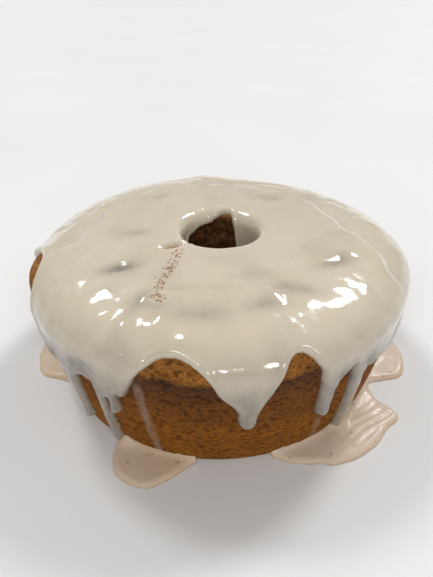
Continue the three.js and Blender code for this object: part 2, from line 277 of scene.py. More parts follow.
def cake_section():
    """Dense points of the section: up the hole, over lip and crown, down the side to the foot."""
    lip_height = CROWN_HEIGHT - LIP_ROUNDING
    lip_radius = HOLE_TOP_RADIUS + LIP_ROUNDING
    crown_edge = WIDEST_RADIUS - SHOULDER_WIDTH
    lip_turn = np.linspace(math.pi, math.pi / 2, 60, endpoint=False)
    lip = np.column_stack([
        lip_radius + LIP_ROUNDING * np.cos(lip_turn), lip_height + LIP_ROUNDING * np.sin(lip_turn),
    ])
    turn = np.linspace(math.pi / 2, 0, 120, endpoint=False)
    shoulder = np.column_stack([
        crown_edge + SHOULDER_WIDTH * np.cos(turn),
        WIDEST_HEIGHT + (CROWN_HEIGHT - WIDEST_HEIGHT) * np.sin(turn),
    ])
    foot_edge = (BASE_RADIUS - FOOT_ROUNDING, 0)
    points = np.vstack([
        bezier([(HOLE_BASE_RADIUS, 0), (HOLE_TOP_RADIUS, lip_height)], 120),
        lip,
        bezier([(lip_radius, CROWN_HEIGHT), (crown_edge, CROWN_HEIGHT)], 80),
        shoulder,
        bezier([
            (WIDEST_RADIUS, WIDEST_HEIGHT), (WIDEST_RADIUS, 0.6 * WIDEST_HEIGHT),
            (BASE_RADIUS, FOOT_ROUNDING),
        ], 160),
        bezier([(BASE_RADIUS, FOOT_ROUNDING), (BASE_RADIUS - 0.4, 0), foot_edge], 20),
        [foot_edge],
    ])
    steps = np.hypot(*np.diff(points, axis=0).T)
    return np.concatenate([[0], np.cumsum(steps)]), points[:, 0], points[:, 1]


ALONG, RADIUS, HEIGHT = cake_section()
TANGENT_R = np.gradient(RADIUS, ALONG)
TANGENT_Z = np.gradient(HEIGHT, ALONG)
CREST = int(np.argmax(HEIGHT))
SHOULDER = int(np.argmax(RADIUS >= WIDEST_RADIUS - SHOULDER_WIDTH - 0.01))
CROWN_ALONG = float(ALONG[SHOULDER])
FOOT_ALONG = float(ALONG[-1])


def outer_along(height):
    """Distance along the section at which the outside passes a height."""
    return np.interp(-np.asarray(height, float), -HEIGHT[SHOULDER:], ALONG[SHOULDER:])


def inner_along(height):
    """The same inside the hole."""
    return np.interp(height, HEIGHT[:CREST], ALONG[:CREST])


def crown_sag(azimuth, height):
    """How far the crown has sunk at the back right."""
    away = (azimuth - CROWN_SAG["at"] + 180) % 360 - 180
    share = smoothstep(height, WIDEST_HEIGHT - 10, CROWN_HEIGHT)
    return CROWN_SAG["depth"] * share * np.exp(-((away / CROWN_SAG["spread"]) ** 2))


def swelling(azimuth, along):
    """How far the cake has swollen out past its plain section."""
    total = np.zeros_like(along)
    for bulge in BULGES:
        arc = ((azimuth - bulge["at"] + 180) % 360 - 180) * math.pi / 180 * SIDE_RADIUS
        tall = along - outer_along(bulge["height"])
        total += bulge["rise"] * np.exp(-((arc / bulge["arc"]) ** 2) - (tall / bulge["tall"]) ** 2)
    return total


def on_cake(azimuth, along, lift):
    """Points in mm at an azimuth, a distance along the section and a height off the surface."""
    length = np.hypot(np.interp(along, ALONG, TANGENT_R), np.interp(along, ALONG, TANGENT_Z))
    normal_r = -np.interp(along, ALONG, TANGENT_Z) / length
    normal_z = np.interp(along, ALONG, TANGENT_R) / length
    lift = lift + swelling(azimuth, along)
    radius = np.interp(along, ALONG, RADIUS) + normal_r * lift
    height = np.interp(along, ALONG, HEIGHT) + normal_z * lift
    angle = np.radians(azimuth)
    height = height - crown_sag(azimuth, height)
    shift = 1 - smoothstep(radius, HOLE_BASE_RADIUS, WIDEST_RADIUS - SHOULDER_WIDTH)
    x = radius * np.sin(angle) + HOLE_SHIFT[0] * shift
    y = -radius * np.cos(angle) + HOLE_SHIFT[1] * shift
    return np.stack([x, y, height], -1)


# ------------------------------------------------------------------ meshes and materials


def mesh_object(name, points, faces, material, attributes=None):
    """A smooth-shaded mesh from points in mm, with named values stored at its points."""
    mesh = bpy.data.meshes.new(name)
    mesh.from_pydata((points * MM).tolist(), [], faces)
    mesh.validate()
    for key, values in (attributes or {}).items():
        layer = mesh.attributes.new(key, "FLOAT", "POINT")
        layer.data.foreach_set("value", np.asarray(values, np.float32))
    mesh.shade_smooth()
    mesh.materials.append(material)
    piece = bpy.data.objects.new(name, mesh)
    bpy.context.scene.collection.objects.link(piece)
    return piece


def keep_modifiers(piece):
    """Replaces a piece's mesh by the result of its modifiers."""
    graph = bpy.context.evaluated_depsgraph_get()
    made = bpy.data.meshes.new_from_object(piece.evaluated_get(graph))
    piece.modifiers.clear()
    piece.data = made


def fill_ramp(node, stops):
    """Gives a colour ramp its stops, each a position and a colour."""
    elements = node.color_ramp.elements
    while len(elements) < len(stops):
        elements.new(0.5)
    for element, (position, colour) in zip(elements, stops):
        element.position = position
        element.color = (*colour, 1)


class Nodes:
    """Short calls for building a material's node tree."""

    def __init__(self, name):
        self.material = bpy.data.materials.new(name)
        self.material.use_nodes = True
        self.tree = self.material.node_tree
        self.shader = self.tree.nodes["Principled BSDF"]

    def add(self, kind, **inputs):
        node = self.tree.nodes.new(kind)
        for key, value in inputs.items():
            node.inputs[key.replace("_", " ")].default_value = value
        return node

    def link(self, source, target):
        self.tree.links.new(source, target)

    def attribute(self, name):
        node = self.tree.nodes.new("ShaderNodeAttribute")
        node.attribute_name = name
        return node.outputs["Fac"]

    def place(self, stretch):
        """Object coordinates in metres, stretched along each axis."""
        where = self.tree.nodes.new("ShaderNodeTexCoord")
        mapping = self.add("ShaderNodeMapping")
        mapping.inputs["Scale"].default_value = stretch
        self.link(where.outputs["Object"], mapping.inputs["Vector"])
        return mapping.outputs["Vector"]

    def noise(self, stretch, scale, detail=3.0, roughness=0.5):
        node = self.add("ShaderNodeTexNoise", Scale=scale, Detail=detail, Roughness=roughness)
        self.link(self.place(stretch), node.inputs["Vector"])
        return node.outputs["Fac"]

    def ramp(self, source, stops):
        node = self.tree.nodes.new("ShaderNodeValToRGB")
        fill_ramp(node, stops)
        self.link(source, node.inputs["Fac"])
        return node.outputs["Color"]

    def mix(self, factor, a, b, blend="MIX"):
        node = self.tree.nodes.new("ShaderNodeMix")
        node.data_type = "RGBA"
        node.blend_type = blend
        for socket, value in ((node.inputs[0], factor), (node.inputs[6], a), (node.inputs[7], b)):
            if isinstance(value, bpy.types.NodeSocket):
                self.link(value, socket)
            elif isinstance(value, (int, float)):
                socket.default_value = value
            else:
                socket.default_value = (*value, 1)
        return node.outputs[2]

    def maths(self, operation, a, b=0.0):
        node = self.tree.nodes.new("ShaderNodeMath")
        node.operation = operation
        node.use_clamp = operation in ("ADD", "MULTIPLY")
        for socket, value in zip(node.inputs, (a, b)):
            if isinstance(value, bpy.types.NodeSocket):
                self.link(value, socket)
            else:
                socket.default_value = value
        return node.outputs[0]

    def bump(self, source, strength, distance):
        node = self.add("ShaderNodeBump", Strength=strength, Distance=distance)
        self.link(source, node.inputs["Height"])
        self.link(node.outputs["Normal"], self.shader.inputs["Normal"])


def grey(value):
    return (value, value, value)


def crust_material():
    """Browned crust: colour by height, rows of fine pores with painted shade in them, and smears of dried
    glaze.
    """
    nodes = Nodes("browned_crust")
    height = nodes.attribute("height")
    by_height = nodes.ramp(height, [
        (0.00, (0.300, 0.165, 0.036)),
        (0.03, (0.270, 0.096, 0.006)),
        (0.30, (0.250, 0.084, 0.005)),
        (0.58, (0.178, 0.058, 0.005)),
        (0.68, (0.128, 0.043, 0.007)),
        (0.78, (0.090, 0.035, 0.011)),
        (0.83, (0.320, 0.125, 0.022)),
        (1.00, (0.370, 0.165, 0.038)),
    ])
    patches = nodes.noise((1, 1, 1.6), 42, 4, 0.6)
    tone = nodes.ramp(patches, [(0.30, grey(0.78)), (0.52, grey(1.0)), (0.72, grey(1.2))])
    colour = nodes.mix(1.0, by_height, tone, "MULTIPLY")
    grain = nodes.noise((1, 1, 2.4), 640, 3, 0.7)
    # Grain tone, with painted shade in its pits and painted highlights on its rises, which the bump below
    # follows.
    grain_shade_and_highlight = nodes.ramp(grain, [(0.36, grey(0.22)), (0.46, grey(0.95)), (0.68, grey(1.3))])
    colour = nodes.mix(0.9, colour, grain_shade_and_highlight, "MULTIPLY")
    fine = nodes.noise((1, 1, 1.7), 1500, 2, 0.6)
    fine_tone = nodes.ramp(fine, [(0.32, grey(0.55)), (0.55, grey(1.05)), (0.75, grey(1.3))])
    colour = nodes.mix(0.8, colour, fine_tone, "MULTIPLY")
    # Painted shade in the pores: darkened in colour where the surface is sunk.
    pores = nodes.ramp(nodes.attribute("pore"), [(0.0, grey(1.0)), (1.0, (0.46, 0.40, 0.36))])
    colour = nodes.mix(1.0, colour, pores, "MULTIPLY")
    inside = nodes.attribute("inside")
    # Crumb inside the hole, much darker than the loose crumbs: painted shade in the hole.
    dark_hole_crumb = nodes.ramp(nodes.noise((1, 1, 1), 330, 3, 0.6), [
        (0.30, (0.016, 0.006, 0.002)), (0.50, (0.080, 0.029, 0.008)), (0.72, (0.170, 0.072, 0.022)),
    ])
    colour = nodes.mix(inside, colour, dark_hole_crumb)
    smear = nodes.attribute("smear")
    colour = nodes.mix(nodes.maths("MULTIPLY", smear, 0.7), colour, (0.30, 0.22, 0.165))
    nodes.link(colour, nodes.shader.inputs["Base Color"])
    gloss = nodes.ramp(smear, [(0.0, grey(0.74)), (1.0, grey(0.38))])
    nodes.link(gloss, nodes.shader.inputs["Roughness"])
    nodes.shader.inputs["Specular IOR Level"].default_value = 0.16
    coarse_share = nodes.maths("MULTIPLY", grain, 0.7)
    fine_share = nodes.maths("MULTIPLY", fine, 0.3)
    nodes.bump(nodes.maths("ADD", coarse_share, fine_share), 0.8, 0.0009)
    return nodes.material


def glaze_material(name, base, shade, film_and_shade_colour, roughness, coat, specks=0.0):
    """Glossy sugar glaze with faint cloudiness, darker and greyer where it is a thin film and where shade
    is painted in.
    """
    nodes = Nodes(name)
    cloud = nodes.noise((1, 1, 1), 26, 3, 0.5)
    colour = nodes.mix(nodes.ramp(cloud, [(0.35, grey(0)), (0.65, grey(1))]), base, shade)
    # The thin value holds thin films together with painted shade; both go towards one colour.
    thin = nodes.attribute("thin")
    streaks = nodes.ramp(nodes.noise((1, 1, 0.4), 240, 2, 0.5), [(0.3, grey(0.75)), (0.7, grey(1))])
    colour = nodes.mix(nodes.mix(1.0, streaks, thin, "MULTIPLY"), colour, film_and_shade_colour)
    spots = nodes.ramp(nodes.noise((1, 1, 1), 230, 2, 0.5), [(0.68, grey(0)), (0.73, grey(specks))])
    colour = nodes.mix(spots, colour, (0.27, 0.15, 0.075))
    nodes.link(colour, nodes.shader.inputs["Base Color"])
    damp = nodes.noise((1, 1, 1), 90, 3, 0.5)
    wet = nodes.ramp(damp, [(0.3, grey(roughness * 0.8)), (0.7, grey(roughness * 1.25))])
    nodes.link(wet, nodes.shader.inputs["Roughness"])
    nodes.shader.inputs["IOR"].default_value = 1.46
    nodes.shader.inputs["Coat Weight"].default_value = coat
    nodes.shader.inputs["Coat Roughness"].default_value = 0.06
    nodes.shader.inputs["Subsurface Weight"].default_value = 0.12
    nodes.shader.inputs["Subsurface Radius"].default_value = (0.004, 0.003, 0.002)
    nodes.shader.inputs["Subsurface Scale"].default_value = 0.6
    nodes.bump(nodes.noise((1, 1, 1), 300, 2, 0.5), 0.12, 0.0006)
    return nodes.material


def crumb_material():
    """Crumbs and flecks of spice, brown to orange, filmed over with glaze."""
    nodes = Nodes("glazed_crumbs")
    tone = nodes.noise((1, 1, 1), 700, 2, 0.5)
    colour = nodes.ramp(tone, [
        (0.30, (0.38, 0.17, 0.07)), (0.55, (0.52, 0.28, 0.15)), (0.75, (0.60, 0.42, 0.28)),
    ])
    nodes.link(colour, nodes.shader.inputs["Base Color"])
    nodes.shader.inputs["Roughness"].default_value = 0.4
    nodes.bump(tone, 0.3, 0.0003)
    return nodes.material


# ------------------------------------------------------------------ crust

CRUST_COLUMNS = 680
PORE_DEPTH = 0.55
BARE_TOP = 80.5           # height on the outside above which only the slit is bare


def crust_rows():
    """Distances along the section of the crust's rows: fine where bare, coarse under the glaze."""
    window_top = float(outer_along(BARE_TOP))
    lip = float(inner_along(80))
    spans = [(0, lip, 2.6), (lip, window_top, 4.2), (window_top, FOOT_ALONG, 1.08)]
    rows = [np.arange(low, high, step) for low, high, step in spans]
    return np.concatenate(rows + [[FOOT_ALONG]])


def smear_strength(azimuth, height, wobble):
    """How far each point lies under a smear, 0 to 1."""
    total = np.zeros_like(height)
    for smear in SMEARS:
        share = np.clip((smear["top"] - height) / (smear["top"] - smear["foot"]), 0, 1)
        middle = smear["top_at"] + (smear["foot_at"] - smear["top_at"]) * share
        arc = np.abs((azimuth - middle + 180) % 360 - 180) * math.pi / 180 * SIDE_RADIUS
        across = 1 - smoothstep(arc + 0.8 * wobble, 0.55 * smear["half"], 1.25 * smear["half"])
        inside = smoothstep(smear["top"] - height, -2, 5) * smoothstep(height - smear["foot"], -3, 1)
        total = np.maximum(total, smear["strength"] * across * inside * (0.75 + 0.35 * wobble))
    return np.clip(total, 0, 1)


def make_crust(material):
    """The whole ring of cake, with pores in rows and a slightly uneven surface."""
    rows = crust_rows()
    azimuths = np.arange(CRUST_COLUMNS) * 360 / CRUST_COLUMNS
    along, azimuth = [values.ravel() for values in np.meshgrid(rows, azimuths, indexing="ij")]
    smooth = on_cake(azimuth, along, np.zeros_like(along))
    inside = 1 - smoothstep(along, inner_along(79), inner_along(82.5))
    bare = np.maximum(inside, smoothstep(along, outer_along(BARE_TOP), outer_along(78)))
    above_foot = smoothstep(smooth[:, 2], 0.3, 4)
    waves = noise_at(smooth, (26, 26, 20)) * 0.45 + noise_at(smooth, (9, 9, 5), 31) * 0.22
    rows_of_pores = noise_at(smooth, (2.7, 2.7, 1.5), 7)
    crumbs = noise_at(smooth, (1.9, 1.9, 1.5), 57)
    pore = smoothstep(rows_of_pores, 0.16, 0.42) * bare
    ragged = inside * (noise_at(smooth, (7, 7, 7), 91) * 1.9 + crumbs * 0.7)
    lift = (waves - PORE_DEPTH * pore + 0.16 * crumbs * bare + ragged) * above_foot
    points = on_cake(azimuth, along, lift)
    points[:, 2] = np.maximum(points[:, 2], 0)
    wobble = noise_at(smooth, (3.2, 3.2, 7), 13)
    values = {
        "height": points[:, 2] / CROWN_HEIGHT + 0.03 * noise_at(smooth, (16, 16, 7), 71),
        "pore": pore,
        "inside": inside,
        "smear": smear_strength(azimuth, points[:, 2], wobble),
    }
    count = len(rows)
    grid = np.arange(count * CRUST_COLUMNS).reshape(count, CRUST_COLUMNS)
    faces = quads(grid, wrap_rows=True)
    return mesh_object("cake_crust", points, faces, material, values)


def quads(grid, wrap_rows=False):
    """Faces of a grid of point numbers whose columns go all the way round."""
    below = np.roll(grid, -1, 0) if wrap_rows else grid[1:]
    here = grid if wrap_rows else grid[:-1]
    corners = np.stack([here, np.roll(here, -1, 1), np.roll(below, -1, 1), below], -1)
    return corners.reshape(-1, 4).tolist()


# ------------------------------------------------------------------ glaze

GLAZE_COLUMNS = 700
EDGE_WIDTH = 3.3          # distance over which the glaze thins to its edge
FAR = 14.0                # distances to an edge aren't worked out past this
BLEND = 3.0               # how softly a drip grows out of the sheet
SINK = 1.2                # depth of the glaze's underside in the crust
FILM = 0.9                # thickness of the thinnest films
EDGE_DEPTH = 0.35         # depth in the crust at which the glaze ends
CREASE_WAVER = 3.0        # how far a fold strays from its route
MOST_FACES = 190000       # faces that the glaze's mesh is thinned to

# How far the glaze goes towards a thin film's colour: as painted shade in a dent 1 mm deep and
# along a fold 1 mm high (partly also for the glaze they thin), at random in cloudy patches, as
# painted shade on the side as a whole (partly also its thinner glaze), and besides that as painted
# shade and a painted dark reflection on the side's lower part.
DENT_SHADE = 0.66
CREASE_SHADE = 0.22
CLOUD_SHADE = 0.16
SIDE_SHADE = 0.40
LOW_SHADE = 0.55


def hem_route(hem, to_along):
    """The hem as a smooth closed curve of (azimuth, along)."""
    points = [(azimuth, float(to_along(height))) for azimuth, height in hem]
    return smooth_route(points, closed_period=360)


def distance_to_hem(azimuths, rows, route, radius, sign):
    """Distance in mm from each grid point to the hem, positive on the glazed side."""
    arc = math.pi / 180 * radius
    result = np.empty((len(rows), len(azimuths)))
    line = np.vstack([route - [360, 0], route, route + [360, 0]])
    for column, azimuth in enumerate(azimuths):
        near = np.flatnonzero(np.abs(line[:, 0] - azimuth) * arc < FAR + 4)
        part = line[near[0]:near[-1] + 1]
        x = (part[:, 0] - azimuth) * arc
        y = part[:, 1]
        distance, _ = segment_distance(
            0.0, rows[:, None], x[None, :-1], y[None, :-1], x[None, 1:], y[None, 1:]
        )
        hem_here = np.interp(0.0, x, y)
        result[:, column] = np.where(sign * (hem_here - rows) > 0, 1, -1) * distance.min(1)
    return np.clip(result, -FAR, FAR)


def drip_field(drip, azimuth, along):
    """Inside distance of one drip, a line down the side with a radius that narrows to its tip;
    how much it bulges at the tip; and how near its middle line a point lies, 0 to 1."""
    arc = math.pi / 180 * SIDE_RADIUS
    top, tip = outer_along([drip["top"], drip["tip"]])
    tip = tip - drip["tip_half"]
    x = ((azimuth - drip["at"] + 180) % 360 - 180) * arc
    distance, share = segment_distance(x, along, 0.0, top, drip["lean"] * arc, tip)
    narrow = np.minimum(1, share * 1.6)
    wobble = 0.25 * np.sin(share * 9 + drip["at"])
    radius = drip["half"] + (drip["tip_half"] - drip["half"]) * narrow + wobble
    bulb = drip["full"] * np.exp(-((along - tip) ** 2 + (x - drip["lean"] * arc) ** 2) / 30)
    ridge = np.exp(-((distance / radius) ** 2) * 1.4) * (share > 0.05)
    return radius - distance, bulb, ridge


def smooth_max(a, b, soft):
    overlap = np.maximum(soft - np.abs(a - b), 0) / soft
    return np.maximum(a, b) + overlap * overlap * soft / 4


def in_dent(dent, x, y):
    """How deep in a dent each point lies, 0 to 1."""
    turn = math.radians(dent["turn"])
    dx, dy = x - dent["at"][0], y - dent["at"][1]
    u = (dx * math.cos(turn) + dy * math.sin(turn)) / dent["half"][0]
    v = (dy * math.cos(turn) - dx * math.sin(turn)) / dent["half"][1]
    return np.exp(-(u * u + v * v))


def dent_and_fold_shade(points):
    """How far the glaze is darkened as painted shade in dents and along folds, partly for its thinning."""
    x, y = points[:, 0], points[:, 1]
    total = np.zeros_like(x)
    for dent in DENTS:
        strength = DENT_SHADE * max(dent["depth"], 0)
        total = np.maximum(total, strength * in_dent(dent, x, y))
    for crease in CREASES:
        signed, fade = crease_place(crease, x, y)
        line = np.exp(-(((signed + 0.6) / 1.3) ** 2))
        total = np.maximum(total, CREASE_SHADE * crease["drop"] * fade * line)
    return total


def crease_place(crease, x, y):
    """Signed distance of points from a crease, positive on its left, and how much of it is left
    there: 1 along its middle, 0 at its ends."""
    route = smooth_route(crease["route"], steps=8)
    best = np.full_like(x, 1e9)
    side = np.zeros_like(x)
    end = np.zeros_like(x)
    pieces = len(route) - 1
    for order, (a, b) in enumerate(zip(route, route[1:])):
        distance, share = segment_distance(x, y, a[0], a[1], b[0], b[1])
        cross = (b[0] - a[0]) * (y - a[1]) - (b[1] - a[1]) * (x - a[0])
        nearer = distance < best
        best = np.where(nearer, distance, best)
        side = np.where(nearer, np.sign(cross), side)
        end = np.where(nearer, (order + share) / pieces, end)
    plan = np.stack([x, y, np.zeros_like(x)], -1)
    wavy = best * side + CREASE_WAVER * noise_at(plan, (17, 17, 17), 37)
    return wavy, smoothstep(end, 0, 0.25) * smoothstep(1 - end, 0, 0.25)


def relief(points):
    """Folds, dents and lumps of the glaze's top, as a height in mm."""
    x, y = points[:, 0], points[:, 1]
    total = np.zeros_like(x)
    for crease in CREASES:
        signed, fade = crease_place(crease, x, y)
        step = 1 / (1 + np.exp(np.clip(signed / crease["soft"], -30, 30)))
        total -= crease["drop"] * fade * step * np.exp(-np.maximum(-signed, 0) / 16)
        total += 0.35 * crease["drop"] * fade * np.exp(-(((signed - 2.5) / 2.2) ** 2))
    for dent in DENTS:
        total -= dent["depth"] * in_dent(dent, x, y)
    return total


def side_of(along):
    """0 on the crown, 1 well down the side."""
    return smoothstep(along, CROWN_ALONG + 20, outer_along(58))


def glaze_rows():
    """Distances along the section of the glaze's rows, finest on the outside."""
    lip = float(inner_along(78))
    spans = [
        (float(inner_along(28)), lip, 2.2), (lip, CROWN_ALONG, 1.6),
        (CROWN_ALONG, FOOT_ALONG - 3, 0.95),
    ]
    return np.concatenate([np.arange(low, high, step) for low, high, step in spans])


def clip_to_edge(faces, field):
    """Triangles of the part where the field is positive, cut exactly along its edge.

    Returns the triangles, and for each new edge point the two old points it lies between and how
    far it is from the first one."""
    inside = field > 0
    count = inside[faces].sum(1)
    whole = faces[count == 3]
    new_edges = []
    pieces = [whole]
    for wanted in (1, 2):
        cut = faces[count == wanted]
        odd = inside[cut] if wanted == 1 else ~inside[cut]
        turn = odd.argmax(1)
        order = (turn[:, None] + np.arange(3)) % 3
        cut = np.take_along_axis(cut, order, 1)
        new_edges.append((wanted, cut))
    pairs = np.vstack([np.vstack([cut[:, [0, 1]], cut[:, [0, 2]]]) for _, cut in new_edges])
    unique, where = np.unique(np.sort(pairs, 1), axis=0, return_inverse=True)
    where = where.ravel() + len(field)
    start = 0
    for wanted, cut in new_edges:
        size = len(cut)
        on_first = where[start:start + size]
        on_second = where[start + size:start + 2 * size]
        start += 2 * size
        if wanted == 1:
            pieces.append(np.stack([cut[:, 0], on_first, on_second], 1))
        else:
            pieces.append(np.stack([on_first, cut[:, 1], cut[:, 2]], 1))
            pieces.append(np.stack([on_first, cut[:, 2], on_second], 1))
    share = field[unique[:, 0]] / (field[unique[:, 0]] - field[unique[:, 1]])
    return np.vstack(pieces), unique, share


def make_glaze(material):
    """The poured glaze with its drips, as one closed skin whose underside is sunk in the crust."""
    rows = glaze_rows()
    azimuths = np.arange(GLAZE_COLUMNS) * 360 / GLAZE_COLUMNS - 180
    outer = distance_to_hem(azimuths, rows, hem_route(OUTER_HEM, outer_along), SIDE_RADIUS, 1)
    inner = distance_to_hem(azimuths, rows, hem_route(INNER_HEM, inner_along), HOLE_RADIUS, -1)
    field = np.where(rows[:, None] > CROWN_ALONG - 20, outer, inner).ravel()
    along, azimuth = [values.ravel() for values in np.meshgrid(rows, azimuths, indexing="ij")]

    bulbs = np.zeros_like(field)
    ridges = np.zeros_like(field)
    on_side = along > CROWN_ALONG
    for drip in DRIPS:
        shape, bulb, ridge = drip_field(drip, azimuth, along)
        field = np.where(on_side, smooth_max(field, shape, BLEND), field)
        bulbs = np.maximum(bulbs, bulb * on_side)
        ridges = np.maximum(ridges, np.where(shape > 0, ridge, 0) * on_side)
    smooth = on_cake(azimuth, along, np.zeros_like(along))
    field = field + 0.35 * noise_at(smooth, (7, 7, 7), 3) * (np.abs(field) < 3)
    slit = in_dent(BARE_SLIT, smooth[:, 0], smooth[:, 1])
    slit_field = (np.sqrt(-np.log(slit + 1e-30)) - 1) * BARE_SLIT["half"][1]
    field = np.where(on_side, field, np.minimum(field, slit_field))

    thin = np.zeros_like(field)
    for film in THIN_FILMS:
        arc = ((azimuth - film["at"] + 180) % 360 - 180) * math.pi / 180 * SIDE_RADIUS / film["arc"]
        tall = (along - outer_along(film["height"])) / film["tall"]
        thin = np.maximum(thin, np.exp(-((arc * arc + tall * tall) ** 1.5)) * on_side)
    thin = np.clip(thin * (1 - ridges), 0, 1)
    # Thin films, with painted shade in dents and along folds.
    shade = np.maximum(thin, dent_and_fold_shade(smooth))
    # Cloudy patches at random; painted shade over the side and more on its lower part, partly also for the
    # thinner glaze there.
    cloudy = smoothstep(noise_at(smooth, (18, 18, 18), 61), 0.1, 0.7)
    low = smoothstep(along, outer_along(74), outer_along(50))
    side = side_of(along)
    shade = np.clip(shade + CLOUD_SHADE * cloudy + SIDE_SHADE * side + LOW_SHADE * low, 0, 1)

    near = 1 - np.clip(field, 0, EDGE_WIDTH) / EDGE_WIDTH
    body = GLAZE_THICKNESS * (1 - 0.22 * side * (1 - ridges))
    body = body * (1 - thin) + FILM * thin
    rim = (0.3 + 0.6 * side) * np.exp(-(((field - 2.4) / 1.5) ** 2)) * (1 - 0.5 * ridges)
    lift = body * np.sqrt(1 - near * near) + rim * (field > 0) + bulbs * (1 - near)

    away = smoothstep(field, 1, 7) * (1 - 0.5 * side)
    lively = 0.35 + 0.65 * smoothstep(noise_at(smooth, (38, 38, 38), 47), -0.25, 0.35)
    ripples = noise_at(smooth, (34, 34, 34), 5) * 0.55 + lively * (
        noise_at(smooth, (13, 13, 13), 17) * 0.75
        + noise_at(smooth, (6.5, 6.5, 6.5), 29) * 0.40
        + noise_at(smooth, (3.6, 3.6, 3.6), 83) * 0.13
    )
    lift = lift + away * (relief(smooth) + ripples)
    lift = np.where(field > 0, np.maximum(lift, 0.3), 0)

    grid = np.arange(len(field)).reshape(len(rows), GLAZE_COLUMNS)
    four = np.array(quads(grid))
    triangles = np.vstack([four[:, [0, 1, 2]], four[:, [0, 2, 3]]])
    faces, pairs, share = clip_to_edge(triangles, field)

    a, b = pairs[:, 0], pairs[:, 1]
    step = (azimuth[b] - azimuth[a] + 180) % 360 - 180
    edge_azimuth = azimuth[a] + step * share
    edge_along = along[a] + (along[b] - along[a]) * share
    top = on_cake(azimuth, along, lift)
    edge = on_cake(edge_azimuth, edge_along, np.full(len(share), -EDGE_DEPTH))
    under = on_cake(azimuth, along, np.full(len(along), -SINK))

    size = len(field)
    lower = np.where(faces < size, faces + size + len(share), faces)[:, ::-1]
    points = np.vstack([top, edge, under])
    # The thin value carries thin films and painted shade alike.
    values = np.concatenate([shade, shade[a], shade])
    used, compact = np.unique(np.vstack([faces, lower]), return_inverse=True)
    piece = mesh_object(
        "poured_glaze", points[used], compact.reshape(-1, 3).tolist(), material, {"thin": values[used]}
    )
    limit = piece.modifiers.new("limit", "DECIMATE")
    limit.ratio = min(1.0, MOST_FACES / len(piece.data.polygons))
    keep_modifiers(piece)
    return piece


# ------------------------------------------------------------------ pools

POOL_THICKNESS = 2.4
POOL_INNER = BASE_RADIUS - 1.5
POOL_ACROSS = 26          # rows of points from the foot to the pool's edge
POOL_ROUNDING = 3.4       # distance over which a pool thins to its edge
FOOT_CLIMB = 1.4          # how far a pool climbs the foot of the cake
FEED_RISE = 2.6           # how far it is heaped up where a drip runs into it
FEED_HALF = 5.0           # half size of such a heap along the foot
FEED_REACH = 4.5          # and out from it


def wrinkle_height(azimuth, radius):
    """Folds in the skin of the right pool, like those on cooling milk."""
    place = np.exp(-(((azimuth - WRINKLES["at"]) / WRINKLES["spread"]) ** 2))
    phase = (radius - WRINKLES["slant"] * azimuth) * 2 * math.pi / WRINKLES["pitch"]
    sway = WRINKLES["sway"] * np.sin(azimuth / WRINKLES["sway_every"])
    return WRINKLES["height"] * place * np.sin(phase + sway)


def make_pool(name, shape, material):
    """A thin pool of glaze round part of the foot, rounded at its edge, climbing a little up it."""
    route = smooth_route(shape["edge"], steps=14)
    azimuth, reach = route[:, 0], route[:, 1]
    angle = np.radians(azimuth)
    rough = np.stack([np.sin(angle) * reach, np.cos(angle) * reach, reach * 0], -1)
    reach = reach + 0.7 * noise_at(rough, (9, 9, 9), 43)
    share = 1 - (1 - np.linspace(0, 1, POOL_ACROSS)) ** 1.8
    radius = POOL_INNER + (reach[None, :] - POOL_INNER) * share[:, None]
    turn = angle[None, :] + radius * 0
    x, y = radius * np.sin(turn), -radius * np.cos(turn)

    edge_x, edge_y = x[-1], y[-1]
    distance, _ = segment_distance(
        x.ravel()[:, None], y.ravel()[:, None], edge_x[None, :-1], edge_y[None, :-1],
        edge_x[None, 1:], edge_y[None, 1:],
    )
    edge = distance.min(1).reshape(x.shape)
    near = 1 - np.clip(edge, 0, POOL_ROUNDING) / POOL_ROUNDING
    from_foot = radius - BASE_RADIUS
    flat = np.stack([x.ravel(), y.ravel(), x.ravel() * 0], -1)
    waves = noise_at(flat, (15, 15, 15), 3) * 0.35 + noise_at(flat, (6, 6, 6), 11) * 0.1
    waves = waves.reshape(x.shape)
    wrinkles = wrinkle_height(np.degrees(turn), radius) * smoothstep(edge, 1, 5)
    height = (POOL_THICKNESS + waves * (1 - near) + wrinkles) * np.sqrt(1 - near * near)
    height = height + FOOT_CLIMB * np.exp(-np.maximum(from_foot, 0) / 1.6) * (1 - near)
    for feed in shape["feeds"]:
        arc = ((np.degrees(turn) - feed + 180) % 360 - 180) * math.pi / 180 * BASE_RADIUS
        heap = np.exp(-((arc / FEED_HALF) ** 2) - (from_foot / FEED_REACH) ** 2)
        height = height + FEED_RISE * heap
    height[-1] = 0

    rows, columns = x.shape
    top = np.stack([x, y, height], -1).reshape(-1, 3)
    under = np.stack([x, y, x * 0], -1).reshape(-1, 3)
    grid = np.arange(rows * columns).reshape(rows, columns)
    base = grid + rows * columns
    base[-1] = grid[-1]
    faces = []
    for layer, flip in ((grid, False), (base, True)):
        corners = np.stack([layer[:-1, :-1], layer[:-1, 1:], layer[1:, 1:], layer[1:, :-1]], -1)
        corners = corners.reshape(-1, 4)
        faces += (corners[:, ::-1] if flip else corners).tolist()
    foot = [grid[0, 1:], grid[0, :-1], base[0, :-1], base[0, 1:]]
    faces += np.stack(foot, -1).tolist()
    for column, flip in ((0, False), (columns - 1, True)):
        for k in range(rows - 1):
            face = [*grid[k:k + 2, column].tolist(), *base[k:k + 2, column].tolist()[::-1]]
            faces.append(face[::-1] if flip else face)
    points = np.vstack([top, under])
    values = {"thin": np.concatenate([near.ravel() ** 3, near.ravel() * 0])}
    piece = mesh_object(name + "_surface", points, faces, material, values)
    weld = piece.modifiers.new("weld", "WELD")
    weld.merge_threshold = 0.00002
    keep_modifiers(piece)
    return piece


# ------------------------------------------------------------------ crumbs

